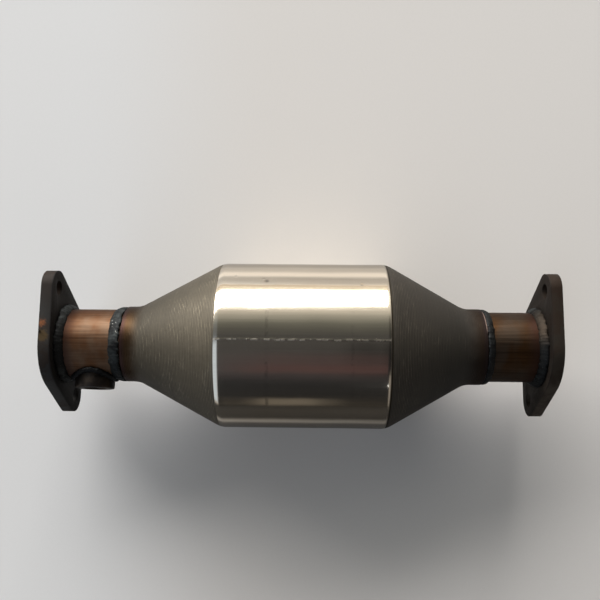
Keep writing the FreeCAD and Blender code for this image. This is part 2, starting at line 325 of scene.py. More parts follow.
@dataclass(frozen=True)
class SpunCanSteel(Finish):
    """Stainless tube: a polished barrel, dull spun cones and heat-tinted necks."""

    name: str = "can_spun_stainless"
    barrel_start: float = -56.1 * MM
    barrel_end: float = 61.0 * MM
    polished: Colour = (0.74, 0.66, 0.55)
    inlet_cone: Colour = (0.086, 0.073, 0.052)
    outlet_cone: Colour = (0.028, 0.0228, 0.0163)
    straw: Colour = (0.048, 0.026, 0.0125)
    plum: Colour = (0.038, 0.019, 0.017)
    lip_highlight: Colour = (0.62, 0.46, 0.40)
    roller_pitch: float = 1.15 * MM
    throats: tuple[float, float] = (-117.4 * MM, 119.1 * MM)
    lips: tuple[float, float] = (-127.1 * MM, 131.9 * MM)
    rubbed_rings: tuple[float, float] = (-21.0 * MM, 35.5 * MM)
    seam_y: float = 3.1 * MM
    dents: tuple[tuple[Place, float], ...] = (
        ((-0.0223, 0.0435, 0.0413), 2.6 * MM),
        ((-0.0245, 0.0452, 0.0395), 1.6 * MM),
        ((0.0424, 0.0410, 0.0438), 1.5 * MM),
        ((-0.044, 0.0468, 0.0375), 1.3 * MM),
    )

    def rings(self, nodes: Nodes) -> Signal:
        """Lines that the spinning roller left round the cones, stronger in some patches.

        Args:
            nodes: The material's nodes.

        Returns:
            The lines' height, about 0.5 on average.
        """
        drift = nodes.grain((90.0, 30.0, 30.0))
        wave = ((nodes.axes[0] / self.roller_pitch + 0.5 * drift) * (2 * math.pi)).math("SINE")
        patch = nodes.grain((50.0, 70.0, 70.0), 3.0).ease(0.40, 0.62)
        fine = nodes.grain((1100.0, 24.0, 24.0), 3.0, 0.6)
        dash = nodes.grain((500.0, 110.0, 110.0), 3.0, 0.7).ease(0.46, 0.70)
        even = 0.12 + 0.28 * wave * (0.25 + 0.75 * patch) + 0.5 * fine
        return even + wave.ease(0.0, 0.9) * patch * dash

    def rubbed(self, nodes: Nodes) -> Signal:
        """Faint dark rings on the barrel where it was gripped, broken along the way round.

        Args:
            nodes: The material's nodes.

        Returns:
            1 on the rings and 0 elsewhere.
        """
        x, y, _ = nodes.axes
        broken = nodes.grain((150.0, 170.0, 170.0), 3.0, 0.7).ease(0.40, 0.66)
        first, second = (1 - (x - ring).math("ABSOLUTE").ease(0.3 * MM, 1.8 * MM) for ring in self.rubbed_rings)
        return (first + 0.5 * second) * broken * (1 - y.ease(0.026, 0.036)) * y.ease(-0.055, -0.040)

    def hollows(self, nodes: Nodes) -> Signal:
        """Shallow dents on the shoulder of the barrel that faces the window.

        Args:
            nodes: The material's nodes.

        Returns:
            Height of the dents, 0 or below.
        """
        depths = ((1 - nodes.distance(centre).ease(0.0, size)) * (size / MM) for centre, size in self.dents)
        return -1 * sum(depths)

    def seam(self, nodes: Nodes) -> Signal:
        """Dull broken line along the weld of the barrel's seam.

        Args:
            nodes: The material's nodes.

        Returns:
            1 on the line and 0 elsewhere.
        """
        _, y, z = nodes.axes
        away = (y + 1.2 * MM * (nodes.grain(160.0) - 0.5) - self.seam_y).math("ABSOLUTE")
        broken = nodes.grain((260.0, 20.0, 20.0), 3.0).ease(0.38, 0.54)
        return (1 - away.ease(0.3 * MM, 0.9 * MM)) * z.ease(0.050, 0.055) * broken

    def inwards(self, nodes: Nodes, ends: tuple[float, float]) -> Signal:
        """Distance from the nearer of two planes across the can, towards its middle."""
        return (nodes.axes[0] - ends[0]).lower(ends[1] - nodes.axes[0])

    def paint(self, nodes: Nodes) -> dict[str, object]:
        """Paint the polished barrel, the spun cones, the tinted necks and a painted highlight on the outlet
        lip.

        Args:
            nodes: The material's nodes.

        Returns:
            What each socket of the shader gets.
        """
        x, y, z = nodes.axes
        barrel = x.ease(self.barrel_start - 0.4 * MM, self.barrel_start + 0.4 * MM)
        barrel = barrel * (1 - x.ease(self.barrel_end - 1.6 * MM, self.barrel_end + 1.6 * MM))
        outlet = x.ease(-0.02, 0.02)
        rings = self.rings(nodes)
        cloud = nodes.grain(55.0, 4.0, 0.6)
        speck = nodes.grain(420.0, 3.0, 0.6)
        # The outlet cone is darker than the inlet cone: partly its own colour, partly painted shade on the end
        # farther from the window
        cone = nodes.blend(outlet, self.inlet_cone, self.outlet_cone)
        from_throat = self.inwards(nodes, self.throats).ease(0.0, 55 * MM)
        tone = 0.05 + 1.30 * rings + 0.40 * cloud + 0.40 * speck
        cone = nodes.shade(cone, tone * (0.72 + 0.45 * from_throat))
        # Heat colours grow towards the neck welds; on the outlet neck they are painted darker, partly as
        # painted shade
        from_lip = self.inwards(nodes, self.lips)
        heat = 1 - (from_lip + 8 * MM * (cloud - 0.5)).ease(3 * MM, 17 * MM)
        tint = nodes.blend(from_lip.ease(0.5 * MM, 5 * MM), self.plum, self.straw)
        cone = nodes.blend(heat * 0.92, cone, nodes.shade(tint, (1 - 0.6 * outlet) * (0.6 + 0.8 * cloud)))
        # Painted highlight: a pale pink metallic line along the outlet neck's lip, on its upper side only
        lip_highlight_mask = x.ease(130.9 * MM, 131.3 * MM) * (z - y).band(-12 * MM, 14 * MM, 4 * MM) * z.ease(0.0, 5 * MM)
        cone = nodes.blend(lip_highlight_mask * 0.6, cone, self.lip_highlight)
        streak = nodes.grain((12.0, 800.0, 800.0), 3.0, 0.6)
        stain = nodes.grain((22.0, 60.0, 60.0), 4.0, 0.6)
        rubbed = self.rubbed(nodes)
        dents = self.hollows(nodes)
        bright = nodes.shade(self.polished, 0.80 + 0.20 * streak + 0.14 * stain - 0.32 * rubbed + 0.22 * dents)
        mirror = 0.095 + 0.07 * streak + 0.04 * rubbed + 0.20 * self.seam(nodes)
        rough = (0.45 + 0.12 * speck + 0.20 * outlet - 0.07 * heat) * (1 - barrel) + mirror * barrel
        metal = (0.50 - 0.30 * outlet + 0.6 * heat).lower(1.0)
        ridges = nodes.bump(rings * (1 - barrel) + 0.04 * streak * barrel, 0.09 * MM)
        return {
            "Base Color": nodes.blend(barrel.ease(0.35, 1.0), cone, bright),
            "Metallic": metal.higher(barrel.ease(0.0, 0.15)).higher(lip_highlight_mask),
            "Roughness": rough,
            "Normal": nodes.bump(dents, 0.05 * MM, ridges),
        }


@dataclass(frozen=True)
class TintedPipeSteel(Finish):
    """Stainless tube with a golden-brown heat tint and fine scratches along it."""

    name: str = "pipe_tinted_stainless"
    inlet_gold: Colour = (0.104, 0.047, 0.022)
    inlet_brown: Colour = (0.126, 0.080, 0.052)
    outlet_gold_shaded: Colour = (0.051, 0.025, 0.011)
    outlet_brown_shaded: Colour = (0.054, 0.038, 0.027)
    soot: Colour = (0.035, 0.032, 0.030)
    plum: Colour = (0.050, 0.024, 0.018)

    def paint(self, nodes: Nodes) -> dict[str, object]:
        """Paint the tube outside, and its sooty bore.

        Args:
            nodes: The material's nodes.

        Returns:
            What each socket of the shader gets.
        """
        x, y, z = nodes.axes
        outlet = x.ease(-0.01, 0.01)
        streak = nodes.grain((22.0, 700.0, 700.0), 3.0, 0.6)
        cloud = nodes.grain((60.0, 40.0, 40.0), 3.0)
        inlet = nodes.blend(cloud.ease(0.35, 0.65), self.inlet_gold, self.inlet_brown)
        # The outlet tube's colours are darker: partly its own tint, partly painted shade on the end farther
        # from the window
        other = nodes.blend(cloud.ease(0.35, 0.65), self.outlet_gold_shaded, self.outlet_brown_shaded)
        colour = nodes.blend(outlet, inlet, other)
        colour = nodes.shade(colour, 0.20 + 1.6 * streak)
        inside = 1 - ((y * y + z * z) ** 0.5).ease(23.95 * MM, 24.3 * MM)
        colour = nodes.blend(inside * 0.85, colour, self.soot)
        # Smoke and plum tint beside the flange welds
        near_flange = x.math("ABSOLUTE").ease(158 * MM, 167 * MM) * (0.5 + cloud)
        colour = nodes.blend(near_flange.lower(1.0) * 0.75, colour, self.plum)
        return {
            "Base Color": colour,
            "Metallic": 1.0,
            "Roughness": 0.46 + 0.14 * streak + 0.20 * inside,
            "Normal": nodes.bump(streak, 0.03 * MM),
        }


@dataclass(frozen=True)
class FlangeScale(Finish):
    """Plate steel under dark mill scale, with brown bloom and a few rust spots."""

    name: str = "flange_mill_scale"
    inlet_scale: Colour = (0.024, 0.023, 0.022)
    outlet_scale: Colour = (0.0235, 0.0175, 0.0125)
    bloom: Colour = (0.021, 0.0115, 0.0065)
    inner_face_shade: Colour = (0.010, 0.0085, 0.008)
    rust: Colour = (0.18, 0.060, 0.018)
    ochre: Colour = (0.058, 0.034, 0.008)
    rust_place: Place = (-0.1793, 0.0138, 0.0318)
    ochre_place: Place = (-0.1785, 0.0048, 0.0346)

    def spot(self, nodes: Nodes, centre: Place, size: float, ragged: Signal) -> Signal:
        """A stain with a ragged edge.

        Args:
            nodes: The material's nodes.
            centre: Middle of the stain.
            size: Its radius.
            ragged: Noise that breaks its edge.

        Returns:
            1 inside the stain and 0 outside.
        """
        return 1 - (nodes.distance(centre) + size * (ragged - 0.5) * 1.3).ease(0.45 * size, size)

    def paint(self, nodes: Nodes) -> dict[str, object]:
        """Paint the scale, the bloom, the painted shade and fill light, and the rust spots.

        Args:
            nodes: The material's nodes.

        Returns:
            What each socket of the shader gets.
        """
        x, y, z = nodes.axes
        outlet = x.ease(-0.01, 0.01)
        cloud = nodes.grain(60.0, 4.0, 0.65)
        speck = nodes.grain(700.0, 4.0, 0.65)
        scale = nodes.blend(outlet, self.inlet_scale, self.outlet_scale)
        # Painted fill light: the scale is lighter towards -Y, more so on the outlet flange
        low = (-1 * y).ease(0.005, 0.040)
        scale = nodes.shade(scale, 0.30 + 0.9 * cloud + 0.5 * speck + (0.6 + 0.9 * outlet) * low)
        # Brown bloom gathers on the upper ears
        ear = (y * 0.89 + z * 0.456).ease(0.030, 0.052)
        bloom = (cloud.ease(0.46, 0.60) * 0.7 + ear * 0.5).lower(1.0)
        colour = nodes.blend(bloom, scale, self.bloom)
        # Painted shade darkens the side that faces the can, more on the inlet flange
        inner = 1 - x.math("ABSOLUTE").ease(173.5 * MM, 174.8 * MM)
        colour = nodes.blend(inner * (0.9 - 0.45 * outlet), colour, self.inner_face_shade)
        ragged = nodes.grain(600.0, 5.0, 0.7)
        rim = ((y * y + z * z) ** 0.5).ease(33.2 * MM, 34.6 * MM) * x.ease(-181.5 * MM, -180.9 * MM)
        rust = self.spot(nodes, self.rust_place, 4.4 * MM, ragged)
        ochre = self.spot(nodes, self.ochre_place, 5.2 * MM, ragged)
        colour = nodes.blend(rust * rim * 0.9, colour, self.rust)
        colour = nodes.blend(ochre * rim * 0.8, colour, self.ochre)
        stain = rust.higher(ochre) * rim
        return {
            "Base Color": colour,
            "Metallic": 0.40 * (1 - stain),
            "Roughness": 0.58 + 0.20 * speck + 0.1 * stain,
            "Specular IOR Level": 0.3,
            "Normal": nodes.bump(speck + 1.5 * cloud, 0.10 * MM),
        }


@dataclass(frozen=True)
class BossSteel(Finish):
    """Turned steel, nearly black from heat, with faint turning lines."""

    name: str = "boss_heat_black"
    black: Colour = (0.028, 0.023, 0.020)
    brown: Colour = (0.060, 0.044, 0.032)

    def paint(self, nodes: Nodes) -> dict[str, object]:
        """Paint the turned steel.

        Args:
            nodes: The material's nodes.

        Returns:
            What each socket of the shader gets.
        """
        turning = nodes.grain((30.0, 2600.0, 60.0), 2.0)
        cloud = nodes.grain(130.0, 3.0)
        colour = nodes.blend(cloud.ease(0.4, 0.7), self.black, self.brown)
        return {
            "Base Color": nodes.shade(colour, 0.7 + 0.6 * turning),
            "Metallic": 0.85,
            "Roughness": 0.36 + 0.15 * cloud,
            "Normal": nodes.bump(turning, 0.03 * MM),
        }


@dataclass(frozen=True)
class WeldMetal(Finish):
    """Weld metal as it froze: blue-grey oxide with ripples, and painted glints as bright specks."""

    name: str = "weld_as_frozen"
    slate: Colour = (0.041, 0.046, 0.046)
    soot: Colour = (0.013, 0.013, 0.0135)
    straw: Colour = (0.037, 0.027, 0.019)
    painted_glint: Colour = (0.50, 0.50, 0.46)

    def paint(self, nodes: Nodes) -> dict[str, object]:
        """Paint the oxide, the paler patches and the painted glints.

        Args:
            nodes: The material's nodes.

        Returns:
            What each socket of the shader gets.
        """
        x, y, z = nodes.axes
        cloud = nodes.grain(150.0, 4.0, 0.65)
        speck = nodes.grain(1100.0, 3.0, 0.6)
        # The neck beads are the palest, the saddle is black, and the inlet flange bead is pale in two places
        away = x.math("ABSOLUTE")
        neck = (1 - away.ease(138 * MM, 141 * MM)) * (1 - 0.55 * x.ease(-0.01, 0.01))
        lumps = y.ease(0.008, 0.020) + (-1 * y).band(0.019, 0.030, 0.003)
        flange = away.ease(163 * MM, 167 * MM) * (0.1 + lumps * cloud.ease(0.46, 0.60))
        share = cloud.ease(0.34, 0.64) * neck * (1 - 0.5 * (-1 * y).ease(0.0, 0.02))
        colour = nodes.blend(share.higher(flange).lower(1.0), self.soot, self.slate)
        # Paler metal on top of the bead at the outlet flange
        pale = x.ease(0.160, 0.166) * z.ease(0.004, 0.020) * y.ease(-0.004, 0.012)
        colour = nodes.blend(pale * 0.85, colour, self.straw)
        # Painted glints: faint bright specks all over, and stronger ones on the upper part of the inlet neck
        # bead
        bright = x.band(-0.1345, -0.1295, 0.001) * y.band(0.008, 0.017, 0.002) * z.ease(0.010, 0.016)
        painted_glint = speck.ease(0.64, 0.74) * 0.2 + bright * (1 - nodes.blobs(500.0).ease(0.12, 0.27))
        painted_glint = painted_glint.lower(1.0)
        colour = nodes.blend(painted_glint, colour, self.painted_glint)
        return {
            "Base Color": colour,
            "Metallic": 0.9,
            "Roughness": 0.52 - 0.24 * painted_glint + 0.12 * cloud,
            "Normal": nodes.bump(speck + 1.6 * cloud, 0.07 * MM),
        }


@dataclass(frozen=True)
class BrickCeramic(Finish):
    """Cordierite honeycomb with a tan catalyst coat."""

    name: str = "brick_coated_cordierite"
    coat: Colour = (0.50, 0.42, 0.31)
    dark: Colour = (0.33, 0.27, 0.20)

    def paint(self, nodes: Nodes) -> dict[str, object]:
        """Paint the coated ceramic.

        Args:
            nodes: The material's nodes.

        Returns:
            What each socket of the shader gets.
        """
        cloud = nodes.grain(45.0, 3.0)
        speck = nodes.grain(900.0, 3.0)
        colour = nodes.blend(cloud.ease(0.35, 0.7), self.coat, self.dark)
        return {
            "Base Color": nodes.shade(colour, 0.8 + 0.4 * speck),
            "Roughness": 0.86 + 0.1 * speck,
            "Normal": nodes.bump(speck, 0.03 * MM),
        }


@dataclass(frozen=True)
class FibreMat(Finish):
    """Pale intumescent fibre mat with flecks of mica."""

    name: str = "mat_intumescent_fibre"
    fibre: Colour = (0.70, 0.66, 0.58)
    fleck: Colour = (0.42, 0.33, 0.20)

    def paint(self, nodes: Nodes) -> dict[str, object]:
        """Paint the fibres and the flecks.

        Args:
            nodes: The material's nodes.

        Returns:
            What each socket of the shader gets.
        """
        strands = nodes.grain((300.0, 1500.0, 1500.0), 4.0, 0.7)
        fleck = 1 - nodes.blobs(420.0).ease(0.12, 0.22)
        colour = nodes.blend(fleck, nodes.shade(self.fibre, 0.75 + 0.5 * strands), self.fleck)
        return {
            "Base Color": colour,
            "Roughness": 0.95 - 0.25 * fleck,
            "Normal": nodes.bump(strands, 0.20 * MM),
        }


@dataclass(frozen=True)
class KnittedWire(Finish):
    """Stainless wire, knitted and pressed into a ring."""

    name: str = "ring_knitted_wire"
    wire: Colour = (0.45, 0.44, 0.41)
    gap_shade: Colour = (0.06, 0.06, 0.06)

    def paint(self, nodes: Nodes) -> dict[str, object]:
        """Paint the wire, with painted shade in the gaps between strands.

        Args:
            nodes: The material's nodes.

        Returns:
            What each socket of the shader gets.
        """
        # The gaps between the wires are painted near black as painted shade
        cell = nodes.blobs(1400.0)
        strand = 1 - cell.ease(0.25, 0.6)
        tangle = nodes.grain(900.0, 3.0)
        return {
            "Base Color": nodes.blend(strand, self.gap_shade, nodes.shade(self.wire, 0.7 + 0.6 * tangle)),
            "Metallic": 1.0,
            "Roughness": 0.42 + 0.2 * tangle,
            "Normal": nodes.bump(strand, 0.15 * MM),
        }


@dataclass(frozen=True)
class PaleTable(Finish):
    """Plain pale table top, which fades into the backdrop's tone far from the converter."""

    name: str = "stage_pale_table"
    warm_shaded: Colour = (0.665, 0.642, 0.622)
    cool: Colour = (0.69, 0.69, 0.695)
    backdrop: Colour = (0.60, 0.59, 0.58)
    near_edge: float = -0.185
    far_edge: float = 0.36
    fade: tuple[float, float] = (0.55, 1.5)

    def mirrored(self, nodes: Nodes) -> Signal:
        """How bright the table looks in metal that mirrors it, as a share of its own brightness.

        Args:
            nodes: The material's nodes.

        Returns:
            The share. The mirrored table ends near the converter, with a duller sill past it.
        """
        y = nodes.axes[1]
        past_edge = 1 - y.ease(self.near_edge - 0.04, self.near_edge + 0.04)
        past_sill = y.ease(self.far_edge - 0.04, self.far_edge + 0.04)
        # Painted shade and painted light in what metal mirrors: darker close to the converter, most on the -Y
        # side, and lighter in a band from 0.20 to 0.33 m on the +Y side
        near = 1 - 0.6 * y.band(-0.145, 0.0, 0.015) - 0.34 * y.band(0.0, 0.125, 0.02)
        lit = 1 + 0.74 * y.band(0.20, 0.33, 0.04)
        return (1 - 0.90 * past_edge) * (1 - 0.14 * past_sill) * near * lit

    def paint(self, nodes: Nodes) -> dict[str, object]:
        """Paint the table, with a duller one for what metal mirrors.

        Args:
            nodes: The material's nodes.

        Returns:
            What each socket of the shader gets.
        """
        # Painted shade with a warm painted bounce: the table is a little darker and warmer towards +X
        colour = nodes.blend(nodes.axes[0].ease(-0.20, -0.02), self.cool, self.warm_shaded)
        colour = nodes.shade(colour, 0.985 + 0.03 * nodes.grain(500.0))
        mirrored = nodes.shade(colour, self.mirrored(nodes))
        return {
            "Base Color": nodes.blend(nodes.ray("Is Glossy Ray"), colour, mirrored),
            "Roughness": 0.9,
            "Specular IOR Level": 0.0,
        }

    def surface(self, nodes: Nodes) -> bpy.types.NodeSocket:
        """Let the painted table give way to the backdrop's tone far from the converter.

        Args:
            nodes: The material's nodes.

        Returns:
            The mixed shader. Only the camera sees the backdrop's tone.
        """
        x, y, _ = nodes.axes
        share = nodes.ray("Is Camera Ray") * ((x * x + y * y) ** 0.5).ease(*self.fade)
        far = nodes.add("ShaderNodeEmission", None, {"Color": self.backdrop, "Strength": 1.0}).outputs[0]
        return nodes.add("ShaderNodeMixShader", None, {0: share, 1: super().surface(nodes), 2: far}).outputs[0]


@dataclass(frozen=True)
class DimRoom:
    """The room that the metal mirrors, painted by bearing round the gas axis and by direction along it.

    A bearing is 0 towards +Y, where the window is, 0.5 overhead and 1 towards -Y.
    """

    name: str = "studio"
    bearings: tuple[tuple[float, Colour], ...] = (
        (0.00, (0.72, 0.60, 0.45)),
        (0.03, (0.95, 0.86, 0.70)),
        (0.20, (1.00, 0.95, 0.85)),
        (0.24, (0.66, 0.64, 0.57)),
        (0.29, (0.36, 0.36, 0.32)),
        (0.34, (0.16, 0.165, 0.145)),
        (0.38, (0.115, 0.117, 0.107)),
        (0.43, (0.080, 0.081, 0.080)),
        (0.56, (0.070, 0.068, 0.070)),
        (0.69, (0.070, 0.064, 0.068)),
        (0.74, (0.050, 0.046, 0.050)),
        (0.79, (0.026, 0.027, 0.029)),
        (0.90, (0.024, 0.024, 0.025)),
        (1.00, (0.040, 0.037, 0.033)),
    )
    brick_red: Colour = (0.112, 0.064, 0.064)
    low_lamp: Colour = (0.19, 0.172, 0.145)
    corner_fill: Colour = (0.460, 0.430, 0.395)
    left_wall: Colour = (0.68, 0.80, 0.95)

    def background(self, nodes: Nodes) -> bpy.types.NodeSocket:
        """Paint the room.

        Args:
            nodes: The world's nodes.

        Returns:
            The background shader, which shows the camera the plain backdrop.
        """
        x, y, z = nodes.split(nodes.add("ShaderNodeTexCoord").outputs["Generated"])
        sweep = (z.math("ARCTAN2", y) / math.pi).math("ABSOLUTE")
        room = nodes.add("ShaderNodeValToRGB", {"stops": self.bearings}, {0: sweep}).outputs[0]
        # Overhead the room is darker on the right, with a brick-red patch in the middle
        room = nodes.shade(room, 1 - 0.5 * x.ease(0.02, 0.11) * sweep.band(0.48, 0.74, 0.03))
        room = nodes.shade(room, 1 - 0.6 * x.ease(0.14, 0.30) * sweep.ease(0.24, 0.30))
        red = sweep.band(0.57, 0.71, 0.03) * 0.35 + sweep.band(0.648, 0.708, 0.02) * 0.4
        room = nodes.blend(red * x.band(-0.10, 0.14, 0.03), room, self.brick_red)
        # A low lamp behind the near side, soft fill from the near corners, and bright walls on the left
        lamp = sweep.band(0.93, 0.993, 0.012) * x.band(-0.085, 0.015, 0.025)
        room = nodes.blend(lamp, room, self.low_lamp)
        fill = x.math("ABSOLUTE").ease(0.20, 0.30) * sweep.ease(0.68, 0.78)
        room = nodes.blend(fill, room, self.corner_fill)
        left = (-1 * x).band(0.26, 0.66, 0.05) * (0.12 + 0.88 * sweep.ease(0.42, 0.52)) * z.ease(0.0, 0.12)
        room = nodes.blend(left, room, self.left_wall)
        colour = nodes.blend(nodes.ray("Is Camera Ray"), room, PaleTable.backdrop)
        return nodes.add("ShaderNodeBackground", None, {"Color": colour, "Strength": 1.0}).outputs[0]


# ---- Workshop tools


def clear_selection() -> None:
    """Deselect every object, so that an operator acts only on what is chosen next."""
    bpy.ops.object.select_all(action="DESELECT")


def choose(*pieces: bpy.types.Object) -> None:
    """Make these objects the only selected ones, and the first the active one."""
    clear_selection()
    for piece in pieces:
        piece.select_set(True)
    bpy.context.view_layer.objects.active = pieces[0]


@contextmanager
def edit_mode(piece: bpy.types.Object) -> Iterator[None]:
    """Edit one object's mesh, with all of it selected at the start.

    Args:
        piece: The object.

    Returns:
        A context that leaves edit mode where its block ends.
    """
    choose(piece)
    bpy.ops.object.mode_set(mode="EDIT")
    bpy.ops.mesh.select_all(action="SELECT")
    yield
    bpy.ops.object.mode_set(mode="OBJECT")


def pick(piece: bpy.types.Object, kind: str,
         wanted: Callable[[bmesh.types.BMEdge | bmesh.types.BMFace], bool]) -> None:
    """Select edges or faces in edit mode by their place.

    Args:
        piece: The object in edit mode.
        kind: EDGE or FACE.
        wanted: Takes an edge or a face, and says whether it is selected.
    """
    mesh = bmesh.from_edit_mesh(piece.data)
    bpy.context.tool_settings.mesh_select_mode = (False, kind == "EDGE", kind == "FACE")
    for part in mesh.edges if kind == "EDGE" else mesh.faces:
        part.select_set(wanted(part))
    mesh.select_flush_mode()
    bmesh.update_edit_mesh(piece.data)


def fresh(add: Callable[..., object], **settings: object) -> bpy.types.Object:
    """Add a primitive with nothing else selected.

    Args:
        add: The operator that adds it.
        settings: Its settings.

    Returns:
        The new object.
    """
    clear_selection()
    add(**settings)
    return bpy.context.object


def settle(piece: bpy.types.Object) -> bpy.types.Object:
    """Move an object's place, turn and scale into its mesh.

    Args:
        piece: The object.

    Returns:
        The same object.
    """
    choose(piece)
    bpy.ops.object.transform_apply(location=True, rotation=True, scale=True)
    return piece


def twin(piece: bpy.types.Object) -> bpy.types.Object:
    """Copy an object.

    Args:
        piece: The object.

    Returns:
        The copy, with its own mesh.
    """
    copy = piece.copy()
    copy.data = piece.data.copy()
    bpy.context.scene.collection.objects.link(copy)
    return copy


def join(piece: bpy.types.Object, *others: bpy.types.Object) -> bpy.types.Object:
    """Join objects.

    Args:
        piece: The object that stays.
        others: The objects that become part of it.

    Returns:
        The object that stays.
    """
    choose(piece, *others)
    bpy.ops.object.join()
    return piece


def tidy_mesh(piece: bpy.types.Object) -> None:
    """Merge doubled points and turn all faces outwards."""
    with edit_mode(piece):
        bpy.ops.mesh.remove_doubles(threshold=MERGE)
        bpy.ops.mesh.normals_make_consistent(inside=False)


def modify(piece: bpy.types.Object, kind: str, **settings: object) -> None:
    """Add a modifier and apply it.

    Args:
        piece: The object.
        kind: The modifier's type.
        settings: Its settings.
    """
    choose(piece)
    modifier = piece.modifiers.new(kind.lower(), kind)
    for name, value in settings.items():
        setattr(modifier, name, value)
    bpy.ops.object.modifier_apply(modifier=modifier.name)


def combine(piece: bpy.types.Object, other: bpy.types.Object, operation: str) -> None:
    """Boolean with another object, which is used up.

    Args:
        piece: The object that stays.
        other: The cutter, or the part to add.
        operation: DIFFERENCE, UNION or INTERSECT.
    """
    modify(piece, "BOOLEAN", object=other, operation=operation, solver="MANIFOLD")
    bpy.data.objects.remove(other)


def cylinder(radius: float, start: Vector, end: Vector, sides: int) -> bpy.types.Object:
    """A closed cylinder between two points.

    Args:
        radius: Its radius.
        start: Middle of one end.
        end: Middle of the other end.
        sides: Faces round it.

    Returns:
        The object, with its place in its mesh.
    """
    turn = (end - start).to_track_quat("Z", "Y").to_euler()
    return settle(fresh(bpy.ops.mesh.primitive_cylinder_add, vertices=sides, radius=radius,
                        depth=(end - start).length, location=(start + end) / 2, rotation=turn))


def along_x(radius: float, start: float, end: float, sides: int) -> bpy.types.Object:
    """A closed cylinder on the gas axis."""
    return cylinder(radius, Vector((start, 0, 0)), Vector((end, 0, 0)), sides)


def rounded(corners: Sequence[tuple[float, float, float]], steps: int = 10) -> Outline:
    """Round the corners of an outline.

    Args:
        corners: Each corner's x, radius and bend, where a bend of 0 stays sharp.
        steps: Points on each bend, less one.

    Returns:
        The points of the closed outline, without the first one repeated.
    """
    points: Outline = []
    count = len(corners)
    for index, (x, radius, bend) in enumerate(corners):
        corner = Vector((x, radius))
        if not bend:
            points.append((x, radius))
            continue
        before = (Vector(corners[index - 1][:2]) - corner).normalized()
        after = (Vector(corners[(index + 1) % count][:2]) - corner).normalized()
        half = before.angle(after) / 2
        centre = corner + (before + after).normalized() * bend / math.sin(half)
        start = corner + before * bend / math.tan(half) - centre
        end = corner + after * bend / math.tan(half) - centre
        sweep = start.angle_signed(end)
        for step in range(steps + 1):
            arm = start.copy()
            arm.rotate(Matrix.Rotation(-sweep * step / steps, 2))
            points.append(tuple(centre + arm))
    return points


def divided(outline: Outline, longest: float) -> Outline:
    """Add points along the straight runs of a closed outline.

    Args:
        outline: The points.
        longest: Longest run that stays whole.

    Returns:
        The outline with its long runs divided evenly.
    """
    points: Outline = []
    for index, (x, radius) in enumerate(outline):
        next_x, next_radius = outline[(index + 1) % len(outline)]
        parts = max(1, math.ceil(math.hypot(next_x - x, next_radius - radius) / longest))
        for part in range(parts):
            share = part / parts
            points.append((x + (next_x - x) * share, radius + (next_radius - radius) * share))
    return points


def draw_outline(outline: Outline) -> bpy.types.Object:
    """Draw a closed outline as edges, by extruding a point.

    Args:
        outline: Points as x and z.

    Returns:
        The outline.
    """
    first_x, first_z = outline[0]
    piece = settle(fresh(bpy.ops.mesh.primitive_plane_add, size=1 * MM, location=(first_x, 0, first_z)))
    with edit_mode(piece):
        bpy.ops.mesh.merge(type="CENTER")
        for (x, z), (next_x, next_z) in zip(outline, [*outline[1:], outline[0]]):
            bpy.ops.mesh.extrude_region_move(TRANSFORM_OT_translate={"value": (next_x - x, 0, next_z - z)})
        bpy.ops.mesh.select_all(action="SELECT")
        bpy.ops.mesh.remove_doubles(threshold=MERGE)
    return piece


def turn_outline(outline: Outline, steps: int) -> bpy.types.Object:
    """Spin a closed outline round the gas axis.

    Args:
        outline: Points as x and radius.
        steps: Steps of the spin.

    Returns:
        The closed solid of revolution.
    """
    piece = draw_outline(outline)
    with edit_mode(piece):
        bpy.ops.mesh.spin(steps=steps, angle=2 * math.pi, center=(0, 0, 0), axis=(1, 0, 0))
    tidy_mesh(piece)
    return piece


def radial(angle: float) -> Vector:
    """Unit vector square to the gas axis."""
    return Vector((0, math.cos(angle), math.sin(angle)))


def hand_over(piece: bpy.types.Object, name: str, node: str, finish: Finish,
              crease: float = 35.0) -> bpy.types.Object:
    """Name a finished piece, dress it and put it in its node's place.

    Args:
        piece: The object, with its place in its mesh.
        name: Its name.
        node: The CAD node that it stands for.
        finish: Its finish.
        crease: Angle in degrees above which an edge stays sharp.

    Returns:
        The piece.
    """
    choose(piece)
    bpy.ops.object.shade_smooth_by_angle(angle=math.radians(crease))
    piece.name = name
    piece.data.name = name
    piece.data.materials.clear()
    piece.data.materials.append(finish.material())
    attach(piece, BODY)
    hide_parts(node)
    triangles = sum(len(face.vertices) - 2 for face in piece.data.polygons)
    LOG.info("%s stands for %s: %d triangles", name, node, triangles)
    return piece


# ---- Sub-assemblies


